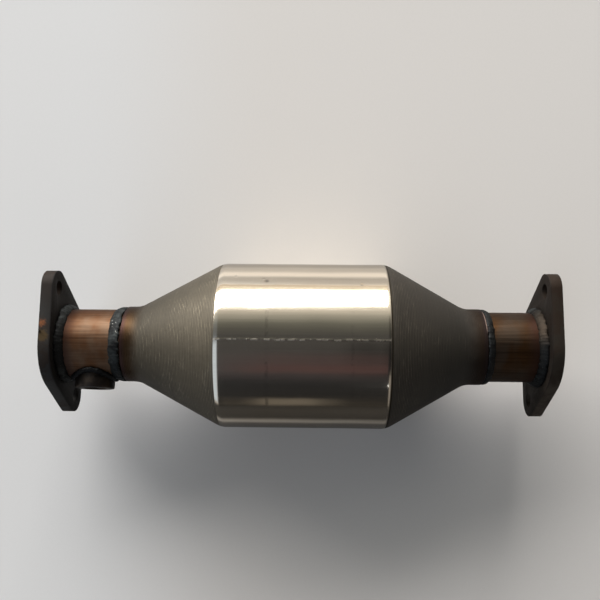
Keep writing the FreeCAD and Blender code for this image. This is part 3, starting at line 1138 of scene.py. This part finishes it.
@dataclass
class SpunCan:
    """The can: one tube spun down at both ends, with its seam along the top."""

    inlet_lip: float = -127.1 * MM
    inlet_throat: float = -117.4 * MM
    inlet_shoulder: float = -56.0 * MM
    outlet_shoulder: float = 62.2 * MM
    outlet_throat: float = 119.1 * MM
    outlet_lip: float = 131.9 * MM
    radius: float = 60.0 * MM
    bore: float = 58.5 * MM
    neck_radius: float = 27.7 * MM
    neck_bore: float = 25.7 * MM
    shoulder_bend: float = 15.0 * MM
    throat_bend: float = 18.0 * MM
    wall: float = 1.5 * MM
    neck_wall: float = 2.0 * MM
    cone_wall: float = 1.7 * MM
    wave: float = 0.22 * MM
    seam_angle: float = math.radians(87)
    seam_width: float = 1.8 * MM
    seam_height: float = 0.13 * MM
    seam_root: float = 0.8 * MM
    seam_end: float = 1.5 * MM
    seam_pitch: float = 0.9 * MM
    seam_bow: float = 0.35 * MM
    seam_drift: float = 0.45 * MM
    wave_size: float = 26 * MM
    wave_fade: float = 12 * MM
    lip_edge: float = 0.8 * MM
    steps: int = 256
    finish: SpunCanSteel = field(default_factory=SpunCanSteel)

    def inner_shift(self, cone_length: float, wall: float) -> float:
        """How far an inner corner lies towards the brick from its outer corner."""
        slope = math.atan2(self.radius - self.neck_radius, cone_length)
        return (self.cone_wall - wall * math.cos(slope)) / math.sin(slope)

    def outline(self) -> Outline:
        """Section of the wall, with points close enough for the waves of the polished barrel.

        Returns:
            The closed outline.
        """
        inlet_cone = self.inlet_shoulder - self.inlet_throat
        outlet_cone = self.outlet_throat - self.outlet_shoulder
        inner_bend = self.shoulder_bend - self.wall
        inner_throat_bend = self.throat_bend + self.neck_wall
        inner_ends = [
            (self.outlet_throat - self.inner_shift(outlet_cone, self.neck_wall), self.neck_bore),
            (self.outlet_shoulder - self.inner_shift(outlet_cone, self.wall), self.bore),
            (self.inlet_shoulder + self.inner_shift(inlet_cone, self.wall), self.bore),
            (self.inlet_throat + self.inner_shift(inlet_cone, self.neck_wall), self.neck_bore),
        ]
        inner_bends = [inner_throat_bend, inner_bend, inner_bend, inner_throat_bend]
        corners = [
            (self.inlet_lip, self.neck_radius, self.lip_edge),
            (self.inlet_throat, self.neck_radius, self.throat_bend),
            (self.inlet_shoulder, self.radius, self.shoulder_bend),
            (self.outlet_shoulder, self.radius, self.shoulder_bend),
            (self.outlet_throat, self.neck_radius, self.throat_bend),
            (self.outlet_lip, self.neck_radius, self.lip_edge),
            (self.outlet_lip, self.neck_bore, 0),
            *((*place, bend) for place, bend in zip(inner_ends, inner_bends)),
            (self.inlet_lip, self.neck_bore, 0),
        ]
        return divided(rounded(corners), 4.0 * MM)

    def seam(self) -> bpy.types.Object:
        """Low rippled bead that runs the length of the barrel.

        Returns:
            The bead, which roots in the wall.
        """
        start, end = self.inlet_shoulder + self.seam_end, self.outlet_shoulder - self.seam_end
        bead = fresh(bpy.ops.mesh.primitive_grid_add, x_subdivisions=420, y_subdivisions=10, size=1.0)
        bead.scale = (end - start, self.seam_width, 1)
        settle(bead)
        half = self.seam_width / 2
        for point in bead.data.vertices:
            across = point.co.y / half
            wander = noise.noise(Vector((point.co.x * 260.0, 3.0, 0.0)))
            ripple = math.sin((point.co.x + self.seam_bow * across * across) * 2 * math.pi / self.seam_pitch)
            crown = self.seam_height * (1 - across * across) * (0.66 + 0.12 * ripple + 0.55 * wander)
            point.co.z = max(0.0, crown)
            point.co.y += self.seam_drift * noise.noise(Vector((point.co.x * 180.0, 9.0, 0.0)))
        with edit_mode(bead):
            bpy.ops.mesh.extrude_region_move(TRANSFORM_OT_translate={"value": (0, 0, -self.seam_root)})
        bead.rotation_euler = (self.seam_angle - math.pi / 2, 0, 0)
        bead.location = radial(self.seam_angle) * self.radius + Vector(((start + end) / 2, 0, 0))
        settle(bead)
        tidy_mesh(bead)
        return bead

    def build(self) -> bpy.types.Object:
        """Turn the can, wave its barrel and weld its seam.

        Returns:
            The dressed can.
        """
        can = turn_outline(self.outline(), self.steps)
        barrel = can.vertex_groups.new(name="barrel")
        for point in can.data.vertices:
            if math.hypot(point.co.y, point.co.z) > self.radius - 0.3 * MM:
                from_end = min(point.co.x - self.inlet_shoulder, self.outlet_shoulder - point.co.x)
                barrel.add([point.index], min(1.0, max(0.0, from_end / self.wave_fade)), "REPLACE")
        clouds = bpy.data.textures.new("barrel_waves", "CLOUDS")
        clouds.noise_scale = self.wave_size
        clouds.noise_depth = 1
        modify(can, "DISPLACE", texture=clouds, texture_coords="LOCAL", strength=self.wave, mid_level=1.0,
               vertex_group="barrel")
        can.vertex_groups.clear()
        join(can, self.seam())
        return hand_over(can, "spun_can", "can_shell", self.finish)


@dataclass
class Pipe:
    """A plain tube that slips into a neck, with its ends deburred."""

    name: str
    node: str
    start: float
    end: float
    radius: float = 25.4 * MM
    bore: float = 23.9 * MM
    edge: float = 0.25 * MM
    steps: int = 192
    finish: TintedPipeSteel = field(default_factory=TintedPipeSteel)

    def shape(self) -> bpy.types.Object:
        """Turn the tube.

        Returns:
            The bare tube.
        """
        corners = [(self.start, self.bore, self.edge), (self.start, self.radius, self.edge),
                   (self.end, self.radius, self.edge), (self.end, self.bore, self.edge)]
        return turn_outline(divided(rounded(corners, 4), 6 * MM), self.steps)

    def build(self, hole: bpy.types.Object | None = None) -> bpy.types.Object:
        """Make the tube, drill it if asked, and dress it.

        Args:
            hole: A cutter for the sensor's hole.

        Returns:
            The dressed tube.
        """
        tube = self.shape()
        if hole:
            combine(tube, hole, "DIFFERENCE")
        return hand_over(tube, self.name, self.node, self.finish)


@dataclass
class Flange:
    """A two-bolt plate, cut from thick steel with slightly broken edges."""

    name: str
    node: str
    end: End
    face: float = 181.6 * MM
    thickness: float = 8.3 * MM
    hub_radius: float = 35.0 * MM
    ear_radius: float = 12.35 * MM
    bolt_spacing: float = 88.9 * MM
    bolt_hole: float = 5.2 * MM
    pipe_hole: float = 25.6 * MM
    roll: float = math.radians(27.2)
    edge: float = 0.45 * MM
    burr_angle: float = math.radians(77)
    burr: bool = False
    burr_radius: float = 1.6 * MM
    burr_tip: float = 0.3 * MM
    burr_height: float = 2.6 * MM
    burr_slimness: float = 0.62
    burr_rise: float = 0.9 * MM
    burr_from_face: float = 1.1 * MM
    finish: FlangeScale = field(default_factory=FlangeScale)

    def bar(self, radius: float, centre: Vector, past: float, sides: int) -> bpy.types.Object:
        """A cylinder through the plate.

        Args:
            radius: Its radius.
            centre: Its middle, square to the gas axis.
            past: How far it runs past each face.
            sides: Faces round it.

        Returns:
            The cylinder.
        """
        outer = self.end.value * (self.face + past)
        inner = self.end.value * (self.face - self.thickness - past)
        return cylinder(radius, centre + Vector((inner, 0, 0)), centre + Vector((outer, 0, 0)), sides)

    def build(self) -> bpy.types.Object:
        """Wrap a plate round hub and ears, drill it, break its edges and dress it.

        Returns:
            The dressed flange.
        """
        reach = radial(self.roll) * self.bolt_spacing / 2
        ears = [self.bar(self.ear_radius, side * reach, 0, 96) for side in (1, -1)]
        plate = join(self.bar(self.hub_radius, Vector(), 0, 128), *ears)
        with edit_mode(plate):
            bpy.ops.mesh.convex_hull()
            bpy.ops.mesh.select_all(action="SELECT")
            bpy.ops.mesh.dissolve_limited(angle_limit=math.radians(0.4))
        if self.burr:
            combine(plate, self.burr_wedge(), "UNION")
        for cutter in (self.bar(self.pipe_hole, Vector(), 1 * MM, 128),
                       self.bar(self.bolt_hole, reach, 1 * MM, 64),
                       self.bar(self.bolt_hole, -reach, 1 * MM, 64)):
            combine(plate, cutter, "DIFFERENCE")
        modify(plate, "BEVEL", width=self.edge, segments=3, limit_method="ANGLE", angle_limit=math.radians(50))
        return hand_over(plate, self.name, self.node, self.finish)

    def burr_wedge(self) -> bpy.types.Object:
        """Small burr left on the rim by the cutting torch.

        Returns:
            The burr, rooted in the plate.
        """
        outward = radial(self.burr_angle)
        along = self.end.value * (self.face - self.burr_from_face)
        place = outward * (self.hub_radius + self.burr_rise) + Vector((along, 0, 0))
        wedge = fresh(bpy.ops.mesh.primitive_cone_add, vertices=9, radius1=self.burr_radius,
                      radius2=self.burr_tip, depth=self.burr_height, location=place,
                      rotation=outward.to_track_quat("Z", "Y").to_euler())
        wedge.scale = (self.burr_slimness, 1.0, 1.0)
        return settle(wedge)


@dataclass
class SensorBoss:
    """The boss for an oxygen sensor, coped to the inlet pipe, with a plain bore and a chamfered mouth."""

    place: float = -150.2 * MM
    angle: float = math.radians(172)
    radius: float = 14.0 * MM
    reach: float = 33.2 * MM
    seat: float = 25.4 * MM
    core: float = 8.19 * MM
    edge: float = 0.8 * MM
    pipe_hole: float = 10.19 * MM
    root: float = 15.0 * MM
    lead_in: float = 2.0 * MM
    cutter_start: float = 5.0 * MM
    cope_reach: float = 40.0 * MM
    finish: BossSteel = field(default_factory=BossSteel)

    def put(self, piece: bpy.types.Object) -> bpy.types.Object:
        """Turn a piece that was made upright at the origin into its place on the pipe.

        Args:
            piece: The piece.

        Returns:
            The same piece.
        """
        piece.rotation_euler = (self.angle - math.pi / 2, 0, 0)
        piece.location = (self.place, 0, 0)
        return settle(piece)

    def bar(self, radius: float, low: float, high: float, sides: int) -> bpy.types.Object:
        """A cylinder on the boss's axis.

        Args:
            radius: Its radius.
            low: Where it starts, from the gas axis.
            high: Where it ends.
            sides: Faces round it.

        Returns:
            The cylinder, still upright at the origin.
        """
        return cylinder(radius, Vector((0, 0, low)), Vector((0, 0, high)), sides)

    def hole_cutter(self) -> bpy.types.Object:
        """Cutter for the hole in the pipe under the boss."""
        return self.put(self.bar(self.pipe_hole, 10 * MM, self.reach, 64))

    def clearing(self) -> bpy.types.Object:
        """Cutter that trims a weld bead where it meets the boss."""
        return self.put(self.bar(self.radius, self.cutter_start, self.reach + 5 * MM, 128))

    def build(self) -> bpy.types.Object:
        """Turn the boss, cope it to the pipe, bore it and chamfer its mouth.

        Returns:
            The dressed boss.
        """
        boss = self.bar(self.radius, self.root, self.reach, 128)
        with edit_mode(boss):
            pick(boss, "EDGE", lambda edge: min(end.co.z for end in edge.verts) > self.reach - 1e-5)
            bpy.ops.mesh.bevel(offset=self.edge, segments=3, profile=0.5)
        combine(boss, along_x(self.seat, -self.cope_reach, self.cope_reach, 256), "DIFFERENCE")
        combine(boss, self.bar(self.core, self.cutter_start, self.reach + 1 * MM, 48), "DIFFERENCE")
        lead = fresh(bpy.ops.mesh.primitive_cone_add, vertices=96, radius1=self.core - 0.5 * MM,
                     radius2=self.core + 1.5 * MM, depth=self.lead_in, location=(0, 0, self.reach))
        combine(boss, settle(lead), "DIFFERENCE")
        self.put(boss)
        return hand_over(boss, "threaded_boss", "sensor_boss", self.finish, 30)


@dataclass(frozen=True)
class Spot:
    """Where one puddle of a weld lies: its middle, and the directions across, along and out of the bead."""

    middle: Vector
    across: Vector
    along: Vector
    out: Vector


class WeldBead:
    """A weld bead laid as overlapping puddles, then melted into one lumpy skin."""

    def __init__(self, seed: int) -> None:
        """Start a bead with its own seeded chance."""
        self.chance = random.Random(seed)
        self.finish = WeldMetal()

    def lay(self, spots: Sequence[Spot], size: tuple[float, float, float], slant: float) -> bpy.types.Object:
        """Copy a puddle to each spot and join them.

        Args:
            spots: Where the puddles lie.
            size: Half sizes across, along and out of the bead.
            slant: Tilt of each puddle along the bead, in radians.

        Returns:
            The puddles, joined in one object.
        """
        model = fresh(bpy.ops.mesh.primitive_uv_sphere_add, segments=14, ring_count=8, radius=1.0)
        puddles = []
        for spot in spots:
            copy = twin(model)
            grow = [part * self.chance.uniform(0.90, 1.10) for part in size]
            turn = Matrix((spot.across, spot.along, spot.out)).transposed()
            turn = turn @ Matrix.Rotation(slant + self.chance.uniform(-0.12, 0.12), 3, "X")
            shift = spot.across * self.chance.uniform(-0.12, 0.12) * size[0]
            shift += spot.out * self.chance.uniform(-0.10, 0.06) * size[2]
            turn_and_grow = (turn @ Matrix.Diagonal(grow)).to_4x4()
            copy.matrix_world = Matrix.Translation(spot.middle + shift) @ turn_and_grow
            puddles.append(copy)
        bpy.data.objects.remove(model)
        return settle(join(*puddles))

    def melt(self, bead: bpy.types.Object, voxel: float, smooth: int) -> None:
        """Melt overlapping shapes into one skin.

        Args:
            bead: The joined shapes.
            voxel: Size of the remesh.
            smooth: Rounds of smoothing after it.
        """
        modify(bead, "REMESH", mode="VOXEL", voxel_size=voxel, adaptivity=0.0)
        modify(bead, "SMOOTH", factor=0.5, iterations=smooth)


@dataclass
class RingBead:
    """A bead round a pipe, in the corner against a flange or the end of a neck."""

    name: str
    node: str
    root: float
    toe: float
    height: float
    seed: int
    pitch: float = 2.2 * MM
    pipe_radius: float = 25.4 * MM
    thick: float = 1.3 * MM
    slant: float = 0.32
    core_sink: float = 0.6 * MM
    core_toe: float = 0.7 * MM
    voxel: float = 0.5 * MM
    pipe_reach: float = 30.0 * MM
    stop_radius: float = 50.0 * MM
    stop_length: float = 20.0 * MM

    def core(self) -> bpy.types.Object:
        """Plain fillet that the puddles lie on.

        Returns:
            The turned fillet.
        """
        sunk = self.pipe_radius - self.core_sink
        toe = self.root + (self.toe - self.root) * 0.94
        return turn_outline([(self.root, sunk), (self.root, self.pipe_radius + 0.9 * self.height),
                             (toe, sunk + self.core_toe), (toe, sunk)], 160)

    def spots(self) -> list[Spot]:
        """Places of the puddles, on the slope from the toe to the top of the bead.

        Returns:
            The places, in the order that they were laid.
        """
        run = Vector((self.root - self.toe, self.height))
        middle = Vector(((self.root + self.toe) / 2, self.pipe_radius + self.height / 2))
        slope = run.normalized()
        normal = Vector((-slope.y, slope.x))
        if normal.y < 0:
            normal = -normal
        centre = middle - normal * (self.thick * 0.55)
        count = round(2 * math.pi * middle.y / self.pitch)
        places = []
        for index in range(count):
            way = radial(2 * math.pi * index / count)
            across = Vector((slope.x, 0, 0)) + way * slope.y
            out = Vector((normal.x, 0, 0)) + way * normal.y
            places.append(Spot(Vector((centre.x, 0, 0)) + way * centre.y, across, out.cross(across), out))
        return places

    def build(self, cutter: bpy.types.Object | None = None) -> bpy.types.Object:
        """Lay the bead, trim it against the pipe and its root face, and dress it.

        Args:
            cutter: Something else that it stops at.

        Returns:
            The dressed bead.
        """
        weld = WeldBead(SEED + self.seed)
        length = math.hypot(self.toe - self.root, self.height)
        bead = weld.lay(self.spots(), (length * 0.50, self.pitch * 0.95, self.thick), self.slant)
        join(bead, self.core())
        weld.melt(bead, self.voxel, 6)
        inwards = math.copysign(1.0, self.toe - self.root)
        trims = [along_x(self.pipe_radius, self.root - self.pipe_reach, self.root + self.pipe_reach, 192),
                 along_x(self.stop_radius, self.root - inwards * self.stop_length, self.root, 64)]
        if cutter:
            trims.append(cutter)
        for trim in trims:
            combine(bead, trim, "DIFFERENCE")
        return hand_over(bead, self.name, self.node, weld.finish, 50)


@dataclass
class SaddleBead:
    """The bead in the corner between the boss and the pipe."""

    boss: SensorBoss
    size: float = 3.6 * MM
    pitch: float = 2.3 * MM
    slant: float = 0.3
    voxel: float = 0.4 * MM
    pipe_reach: float = 30.0 * MM
    seed: int = 5

    def spots(self) -> list[Spot]:
        """Places of the puddles round the saddle.

        Returns:
            The places, upright at the origin.
        """
        boss, seat = self.boss.radius, self.boss.seat
        count = round(2 * math.pi * boss * 1.1 / self.pitch)
        reach = boss + 0.34 * self.size
        places = []
        for index in range(count):
            angle = 2 * math.pi * index / count
            flat = Vector((math.cos(angle), math.sin(angle), 0))
            height = math.sqrt(seat ** 2 - (reach * flat.y) ** 2)
            pipe_out = Vector((0, reach * flat.y, height)).normalized()
            out = (flat + pipe_out).normalized()
            along = Vector((-math.sin(angle), math.cos(angle), -reach ** 2 * flat.x * flat.y / height / reach))
            along = (along - out * along.dot(out)).normalized()
            middle = Vector((reach * flat.x, reach * flat.y, height)) + pipe_out * 0.30 * self.size
            places.append(Spot(middle, along.cross(out), along, out))
        return places

    def build(self, beads: Sequence[bpy.types.Object]) -> bpy.types.Object:
        """Lay the bead and trim it against the boss, the pipe and the ring beads.

        Args:
            beads: The ring beads that it stops at.

        Returns:
            The dressed bead.
        """
        weld = WeldBead(SEED + self.seed)
        bead = weld.lay(self.spots(), (self.size * 0.60, self.pitch * 0.95, self.size * 0.42), self.slant)
        weld.melt(bead, self.voxel, 8)
        self.boss.put(bead)
        middle = self.boss.place
        pipe = along_x(self.boss.seat, middle - self.pipe_reach, middle + self.pipe_reach, 192)
        for trim in (self.boss.clearing(), pipe, *map(twin, beads)):
            combine(bead, trim, "DIFFERENCE")
        return hand_over(bead, "boss_saddle_bead", "sensor_boss_weld", weld.finish, 50)


@dataclass
class Brick:
    """The honeycomb brick, with cells at their real pitch."""

    radius: float = 52.85 * MM
    length: float = 101.6 * MM
    middle: float = 3.1 * MM
    pitch: float = 1.27 * MM
    web: float = 0.17 * MM
    skin: float = 1.1 * MM
    skin_root: float = 0.5 * MM
    finish: BrickCeramic = field(default_factory=BrickCeramic)

    def build(self) -> bpy.types.Object:
        """Inset a grid to webs, draw it out to the brick's length and put a skin round it.

        Returns:
            The dressed brick.
        """
        start = self.middle - self.length / 2
        inner = self.radius - self.skin
        count = 2 * math.floor(inner / self.pitch)
        brick = settle(fresh(bpy.ops.mesh.primitive_grid_add, x_subdivisions=count, y_subdivisions=count,
                             size=count * self.pitch, location=(start, 0, 0), rotation=(0, -math.pi / 2, 0)))
        with edit_mode(brick):
            pick(brick, "FACE", lambda cell: math.hypot(*cell.calc_center_median().yz) > inner - 0.2 * MM)
            bpy.ops.mesh.delete(type="FACE")
            bpy.ops.mesh.select_all(action="SELECT")
            bpy.ops.mesh.inset(thickness=self.web / 2, use_individual=True, use_boundary=True)
            bpy.ops.mesh.delete(type="ONLY_FACE")
            bpy.ops.mesh.select_all(action="SELECT")
            bpy.ops.mesh.extrude_region_move(TRANSFORM_OT_translate={"value": (self.length, 0, 0)})
        tidy_mesh(brick)
        end = start + self.length
        ring = [(start, inner - self.skin_root), (start, self.radius), (end, self.radius),
                (end, inner - self.skin_root)]
        join(brick, turn_outline(ring, 160))
        return hand_over(brick, "honeycomb_brick", "substrate", self.finish)


@dataclass
class Packing:
    """The mat and the wire rings round the brick, which keep their CAD shapes."""

    nodes: dict[str, Finish] = field(default_factory=lambda: {
        "support_mat": FibreMat(), "inlet_seal_ring": KnittedWire(), "outlet_seal_ring": KnittedWire()})

    def dress(self) -> None:
        """Give each carried-over node its material."""
        for name, finish in self.nodes.items():
            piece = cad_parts[name]
            piece.data.materials.clear()
            piece.data.materials.append(finish.material())
            LOG.info("%s keeps its CAD shape", name)


@dataclass
class Studio:
    """Table, soft lights, dim surroundings and the camera of the photograph."""

    table_height: float = -60.0 * MM
    table_size: float = 12.0
    camera_place: Place = (0.010, -0.00476, 0.49678)
    camera_tilt: float = -0.07725
    camera_pan: float = -0.02092
    camera_roll: float = -0.00774
    lens: float = 40.205
    window_distance: float = 5.5
    window_tint: Colour = (1.0, 0.982, 0.955)
    front_pane: tuple[float, ...] = (-12, 50, 11.5, 36.5, 11.4)
    left_pane: tuple[float, ...] = (50, 95, 7, 22, 2.8)
    lamp_place: Place = (0.25, -0.84, 0.62)
    lamp_target: Place = (0.06, 0.0, 0.0)
    lamp_size: float = 0.035
    lamp_power: float = 0.022
    lamp_tint: Colour = (0.9, 0.95, 1.0)

    def add_table(self) -> None:
        """Lay the pale table."""
        table = settle(fresh(bpy.ops.mesh.primitive_plane_add, size=self.table_size,
                             location=(0, 0, self.table_height)))
        table.name = "stage_table"
        table.data.materials.append(PaleTable().material())

    def add_light(self, name: str, place: Vector, target: Vector, size: tuple[float, float], power: float,
                  colour: Colour) -> None:
        """Hang a soft box that lights and is reflected, but isn't seen by the camera.

        Args:
            name: Its name.
            place: Its middle.
            target: The point that it faces.
            size: Its width and height.
            power: Watts.
            colour: Its colour.
        """
        data = bpy.data.lights.new(name, "AREA")
        data.shape = "RECTANGLE"
        data.size, data.size_y = size
        data.energy = power
        data.color = colour
        light = bpy.data.objects.new(name, data)
        bpy.context.scene.collection.objects.link(light)
        light.location = place
        light.rotation_euler = (target - place).to_track_quat("-Z", "Y").to_euler()
        light.visible_camera = False

    def add_pane(self, name: str, start: float, end: float, low: float, high: float, radiance: float) -> None:
        """Hang one soft pane of the window, as seen from the converter.

        Args:
            name: Its name.
            start: Bearing of one side in degrees, from +Y towards -X.
            end: Bearing of the other side.
            low: Height of its lower edge over the horizon, in degrees.
            high: Height of its upper edge.
            radiance: How bright it looks, where 1 is white.
        """
        bearing = math.radians((start + end) / 2)
        low, high = (math.tan(math.radians(angle)) * self.window_distance for angle in (low, high))
        width = 2 * self.window_distance * math.tan(math.radians((end - start) / 2))
        middle = Vector((-math.sin(bearing), math.cos(bearing), 0)) * self.window_distance
        height = Vector((0, 0, (low + high) / 2))
        power = radiance * math.pi * width * (high - low)
        self.add_light(name, middle + height, height, (width, high - low), power, self.window_tint)

    def add_world(self) -> None:
        """Put the dim room round everything."""
        room = DimRoom()
        world = bpy.data.worlds.new(room.name)
        bpy.context.scene.world = world
        world.use_nodes = True
        nodes = Nodes(world.node_tree)
        nodes.add("ShaderNodeOutputWorld", None, {0: room.background(nodes)})

    def add_camera(self) -> None:
        """Set the camera where the photograph was taken from."""
        data = bpy.data.cameras.new("camera")
        data.sensor_width = 36.0
        data.lens = self.lens
        data.clip_start, data.clip_end = 0.01, 50.0
        camera = bpy.data.objects.new("camera", data)
        bpy.context.scene.collection.objects.link(camera)
        into_view = (Matrix.Rotation(self.camera_roll, 3, "Z") @ Matrix.Rotation(self.camera_pan, 3, "Y")
                     @ Matrix.Rotation(self.camera_tilt, 3, "X"))
        camera.matrix_world = Matrix.Translation(self.camera_place) @ into_view.transposed().to_4x4()
        bpy.context.scene.camera = camera

    def build(self) -> None:
        """Set up everything round the converter."""
        self.add_table()
        self.add_pane("front_window", *self.front_pane)
        self.add_pane("left_window", *self.left_pane)
        self.add_light("small_lamp", Vector(self.lamp_place), Vector(self.lamp_target),
                       (self.lamp_size, self.lamp_size), self.lamp_power, self.lamp_tint)
        self.add_world()
        self.add_camera()
        bpy.context.scene.view_settings.view_transform = "Standard"


def main() -> None:
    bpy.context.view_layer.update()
    boss = SensorBoss()
    SpunCan().build()
    Pipe("inlet_tube", "inlet_pipe", -180.1 * MM, -118.4 * MM).build(boss.hole_cutter())
    Pipe("outlet_tube", "outlet_pipe", 120.1 * MM, 180.1 * MM).build()
    Flange("inlet_plate", "inlet_flange", End.INLET, burr=True).build()
    Flange("outlet_plate", "outlet_flange", End.OUTLET).build()
    boss.build()
    beads = [
        RingBead("inlet_flange_bead", "inlet_flange_weld", -173.3 * MM, -166.8 * MM, 4.2 * MM, 1),
        RingBead("inlet_neck_bead", "inlet_neck_weld", -127.1 * MM, -136.4 * MM, 2.3 * MM, 2),
        RingBead("outlet_flange_bead", "outlet_flange_weld", 173.3 * MM, 166.8 * MM, 4.2 * MM, 3),
        RingBead("outlet_neck_bead", "outlet_neck_weld", 131.9 * MM, 137.7 * MM, 2.3 * MM, 4),
    ]
    near_boss = [bead.build(boss.clearing()) for bead in beads[:2]]
    for bead in beads[2:]:
        bead.build()
    SaddleBead(boss).build(near_boss)
    Brick().build()
    Packing().dress()
    Studio().build()


if __name__ == "__main__":
    main()
